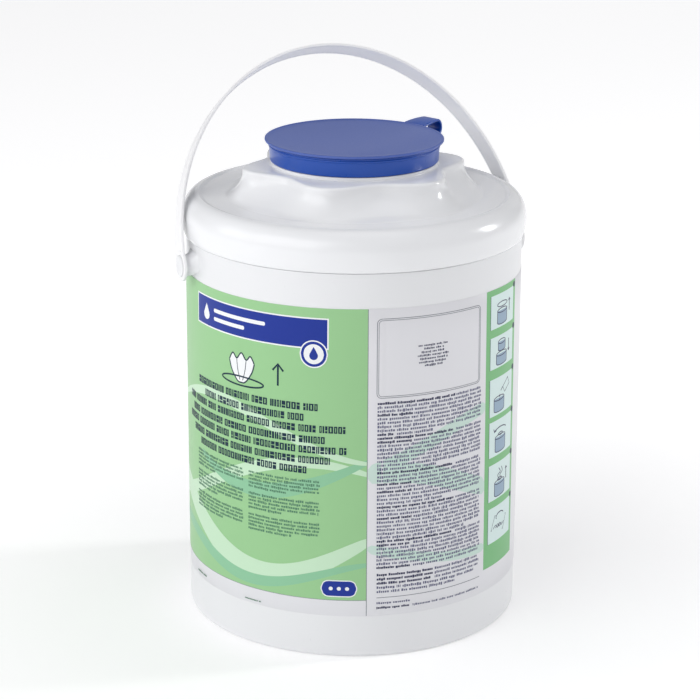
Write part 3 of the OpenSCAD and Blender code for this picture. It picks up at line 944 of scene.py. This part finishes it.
def text_line(start, end, z, heavy=0.0, cap=1.45):
    """One line of the long text: heavy words first, up to the share heavy of the line, then plain ones."""
    s = start + (end - start) * heavy
    if heavy:
        bold.extend(greeked(rng, start, s, z, cap, 0.9, 0.18, 0.8, BAND + 0.02, low=0.12))
        s += 0.8
    plain.extend(greeked(rng, s, end, z, cap, 0.8, 0.34, 0.85, BAND + 0.02, low=0.12))


for k, half in enumerate((9.4, 6.0, 7.6, 9.8, 8.4, 9.0, 5.6)):
    bold += greeked(rng, 37 - half, 37 + half, 180.2 - 1.9 * k, 1.1, 0.65, 0.3, 0.7, BAND, low=0.1)
z, count = 149.2, 0
while z > 52.0:
    end = rng.uniform(30, 60) if count % 9 == 8 else 70.6
    text_line(5.0, end, z, rng.choice((0, 0, 0, 0.3)) if count % 9 else 0.7)
    z -= 2.22
    count += 1
for k, end in enumerate((70.4, 70.4, 70.4, 66, 52)):
    text_line(5.2, end, 49.4 - 2.5 * k, 0.5 if k < 3 else 0)
text_line(5.2, 24.0, 32.6, cap=1.2)
text_line(5.2, 70.0, 29.8, 0.3, cap=1.2)
printed("label_bold_print", bold, DARK_TEXT)
printed("label_long_print", plain, MID_TEXT)

# picture strip: six plain pictograms of filling and using the dispenser
BOXES = ((199.0, 179.6), (174.8, 156.2), (150.4, 128.4), (125.2, 104.2), (99.6, 77.8), (73.4, 52.2))
BOX_IN, BOX_OUT, BOX_MID = 78.4, 106.2, 90.8
fills, tones, lines, dots = [], [], [], []


def outline(points, loop=False, width=0.5):
    lines.append(stroke(points, width, FIELD, loop))


def small_bucket(cx, z0, w, h, lid=False):
    """Bucket of half the width w; with a lid it shows a port."""
    def base(s):
        return z0 + 1.2 - 1.2 * math.sqrt(max(0, 1 - ((s - cx) / w) ** 2))

    tones.append(slab(cx - w, cx + w, base, z0 + h, FRAME, w / 8))
    outline([(cx - w, z0 + h), (cx - w, z0 + 1.2)] + oval(cx, z0 + 1.2, w, 1.2, 12, 180, 360)
            + [(cx + w, z0 + 1.2), (cx + w, z0 + h)])
    outline(oval(cx, z0 + h, w, 1.3, 24), True)
    if lid:
        outline(oval(cx, z0 + h + 1.6, w * 0.45, 0.8, 20), True)


def arrow(s, z0, z1):
    outline([(s, z0), (s, z1)], width=0.7)
    tip = 1.2 if z1 > z0 else -1.2
    outline([(s - 1.2, z1 - tip), (s, z1 + 0.2 * tip), (s + 1.2, z1 - tip)], width=0.6)


for k, (high, low) in enumerate(BOXES):
    mid, cx = (high + low) / 2, BOX_MID
    fills.append(rounded(BOX_IN, BOX_OUT, low, high, 0.6, BAND))
    outline([(BOX_IN, low), (BOX_IN, high)], width=0.3)
    dots.append(disc(107.4, high + 0.6, 1.7, FRAME))
    if k == 0:      # a roll goes in
        small_bucket(cx, low + 1.5, 5.5, 8)
        outline(oval(cx, low + 13, 5.7, 1.4, 24), True)
        arrow(cx + 9, low + 7, low + 14)
    elif k == 1:    # a refill goes down
        small_bucket(cx, low + 1.2, 6.0, 6.5)
        small_bucket(cx, low + 9.2, 4.2, 5.5)
        arrow(cx + 9, low + 14, low + 7)
    elif k == 2:    # liquid is poured in
        small_bucket(cx - 2, low + 1.5, 5.8, 8)
        bottle = [(cx + 2, high - 7), (cx + 8.5, high - 3), (cx + 11, high - 7.2), (cx + 4.6, high - 10.6)]
        outline(bottle, True)
        outline([(cx + 2, high - 7), (cx - 0.5, high - 8.6)])
        for d in (0, 2.2):
            lines.append(drop(cx - 1.5, high - 11.5 - d, 0.55, FIELD))
    elif k == 3:    # the lid turns
        small_bucket(cx, low + 1.5, 6.0, 9, lid=True)
        outline(oval(cx, low + 13.6, 7.4, 2.6, 16, 20, 160), width=0.6)
        outline([(cx - 7.6, low + 16.4), (cx - 6.9, low + 14.3), (cx - 4.8, low + 15.0)], width=0.6)
    elif k == 4:    # a wipe is pulled up
        small_bucket(cx, low + 1.2, 6.0, 8.5, lid=True)
        for edge in (((-1, 11.4), (-2.4, 14), (0.6, 15.4), (-1.2, 18)),
                     ((1, 11.4), (0.4, 13.6), (3.2, 15.2), (2, 18))):
            outline(catmull([(cx + s, low + z) for s, z in edge]))
        arrow(cx + 8.4, low + 9, low + 16)
    else:           # a top is wiped
        outline([(cx - 9, mid - 3), (cx + 5, mid - 6), (cx + 9, mid + 2), (cx - 5, mid + 5)], True)
        for d in (-2, 0.6, 3.2):
            crease = ((-5, -2.6), (-2, -1), (0, -3), (3, -1.6))
            outline(catmull([(cx + s + d, mid + z) for s, z in crease]), width=0.4)
        outline(oval(cx + 1, mid + 3.4, 4.6, 2.4, 18, 20, 200), width=0.6)
printed("label_boxes", fills, BOX_TINT)
printed("label_box_tones", tones, BOX_TONE)
printed("label_pictograms", lines, DARK_TEXT)
printed("label_box_dots", dots, TEXT)

# back of the label, not in the photo: a second text field and an empty frame
shells = []
for k in range(46):
    if k % 11 != 10:
        end = 330.0 if k % 11 == 9 else 372.0
        shells += greeked(rng, 300.0, end, 186 - 3.2 * k, 1.6, 1.3, 0.35, 1.2, BAND, word=(2, 7))
printed("label_back_print", shells, DARK_TEXT)
printed("label_back_frame", [frame_line(150.0, 270.0, 48, 190, 4, 0.6, LINE)], OUTLINE_AND_SEAM_SHADOW)


# --- floor, light and background; lengths here are metres --------------------------------------

def smooth_step(tree, value, limits):
    """Output that goes smoothly with a value; limits are From Min, From Max, To Min and To Max."""
    node = tree.nodes.new("ShaderNodeMapRange")
    node.interpolation_type = "SMOOTHSTEP"
    for socket, limit in zip(("From Min", "From Max", "To Min", "To Max"), limits):
        node.inputs[socket].default_value = limit
    tree.links.new(value, node.inputs["Value"])
    return node.outputs["Result"]


def make_floor():
    """Light floor that glows a little, with less glow close to the object: a painted soft shadow round its
    foot.
    """
    bpy.ops.mesh.primitive_plane_add(size=80, location=(0, 0, 0))
    floor = bpy.context.active_object
    floor.name = "floor"
    mat = bpy.data.materials.new("floor_paint")
    mat.use_nodes = True
    tree = mat.node_tree
    shader = tree.nodes["Principled BSDF"]
    shader.inputs["Base Color"].default_value = (0.88, 0.88, 0.88, 1)
    shader.inputs["Roughness"].default_value = 0.9
    shader.inputs["Specular IOR Level"].default_value = 0.1
    shader.inputs["Emission Color"].default_value = (1, 1, 1, 1)
    place = tree.nodes.new("ShaderNodeTexCoord")
    away = tree.nodes.new("ShaderNodeVectorMath")
    away.operation = "LENGTH"
    tree.links.new(place.outputs["Object"], away.inputs[0])
    # the glow keeps the floor bright and drops near the object, which paints a soft shadow there
    glow_with_painted_shadow = smooth_step(tree, away.outputs["Value"], (0.1, 0.45, 0.22, 0.36))
    tree.links.new(glow_with_painted_shadow, shader.inputs["Emission Strength"])
    floor.data.materials.append(mat)


def direction(azimuth, elevation):
    """Direction at an azimuth counted from the picture's right towards its back."""
    a, e = math.radians(azimuth + VIEW_TURN), math.radians(elevation)
    return Vector((math.cos(a) * math.cos(e), math.sin(a) * math.cos(e), math.sin(e)))


def softbox(name, azimuth, elevation, distance, size, power):
    """Lamp of a size (width, height) that points at the middle of the object; power is in watts."""
    data = bpy.data.lights.new(name, "AREA")
    data.shape = "RECTANGLE"
    data.size, data.size_y = size
    data.energy = power
    lamp = bpy.data.objects.new(name, data)
    bpy.context.scene.collection.objects.link(lamp)
    lamp.location = direction(azimuth, elevation) * distance + MIDDLE
    lamp.rotation_euler = (MIDDLE - lamp.location).to_track_quat("-Z", "Y").to_euler()


def make_world():
    """Studio with a bright ceiling and horizon over darker walls, and a darker far side."""
    world = bpy.data.worlds.new("studio")
    bpy.context.scene.world = world
    world.use_nodes = True
    tree = world.node_tree
    back = tree.nodes["Background"]
    place = tree.nodes.new("ShaderNodeTexCoord")
    split = tree.nodes.new("ShaderNodeSeparateXYZ")
    ramp = tree.nodes.new("ShaderNodeValToRGB")
    tree.links.new(place.outputs["Generated"], split.inputs[0])
    tree.links.new(split.outputs["Z"], ramp.inputs["Fac"])
    stops = ramp.color_ramp.elements
    stops[0].position, stops[0].color = 0.0, (0.62, 0.62, 0.63, 1)
    stops[1].position, stops[1].color = 1.0, (1.1, 1.1, 1.12, 1)
    stops.new(0.16).color = (0.24, 0.24, 0.25, 1)
    facing = tree.nodes.new("ShaderNodeVectorMath")
    facing.operation = "DOT_PRODUCT"
    facing.inputs[1].default_value = direction(-110, 0)
    tree.links.new(place.outputs["Generated"], facing.inputs[0])
    strength = smooth_step(tree, facing.outputs["Value"], (-1.0, 1.0, 0.4, 0.85))
    tree.links.new(ramp.outputs["Color"], back.inputs["Color"])
    tree.links.new(strength, back.inputs["Strength"])


make_floor()
make_world()
for lamp in (("key", -134, 27, 2.6, (2.2, 1.6), 24),
             ("left", -176, 20, 2.6, (1.2, 1.2), 9),
             ("right", 12, 20, 2.2, (0.25, 0.5), 13),
             ("top", 0, 86, 2.4, (1.4, 1.4), 5),
             ("backdrop", 80, 14, 3.0, (2.4, 1.0), 3)):
    softbox(*lamp)
bpy.context.scene.view_settings.view_transform = "Standard"
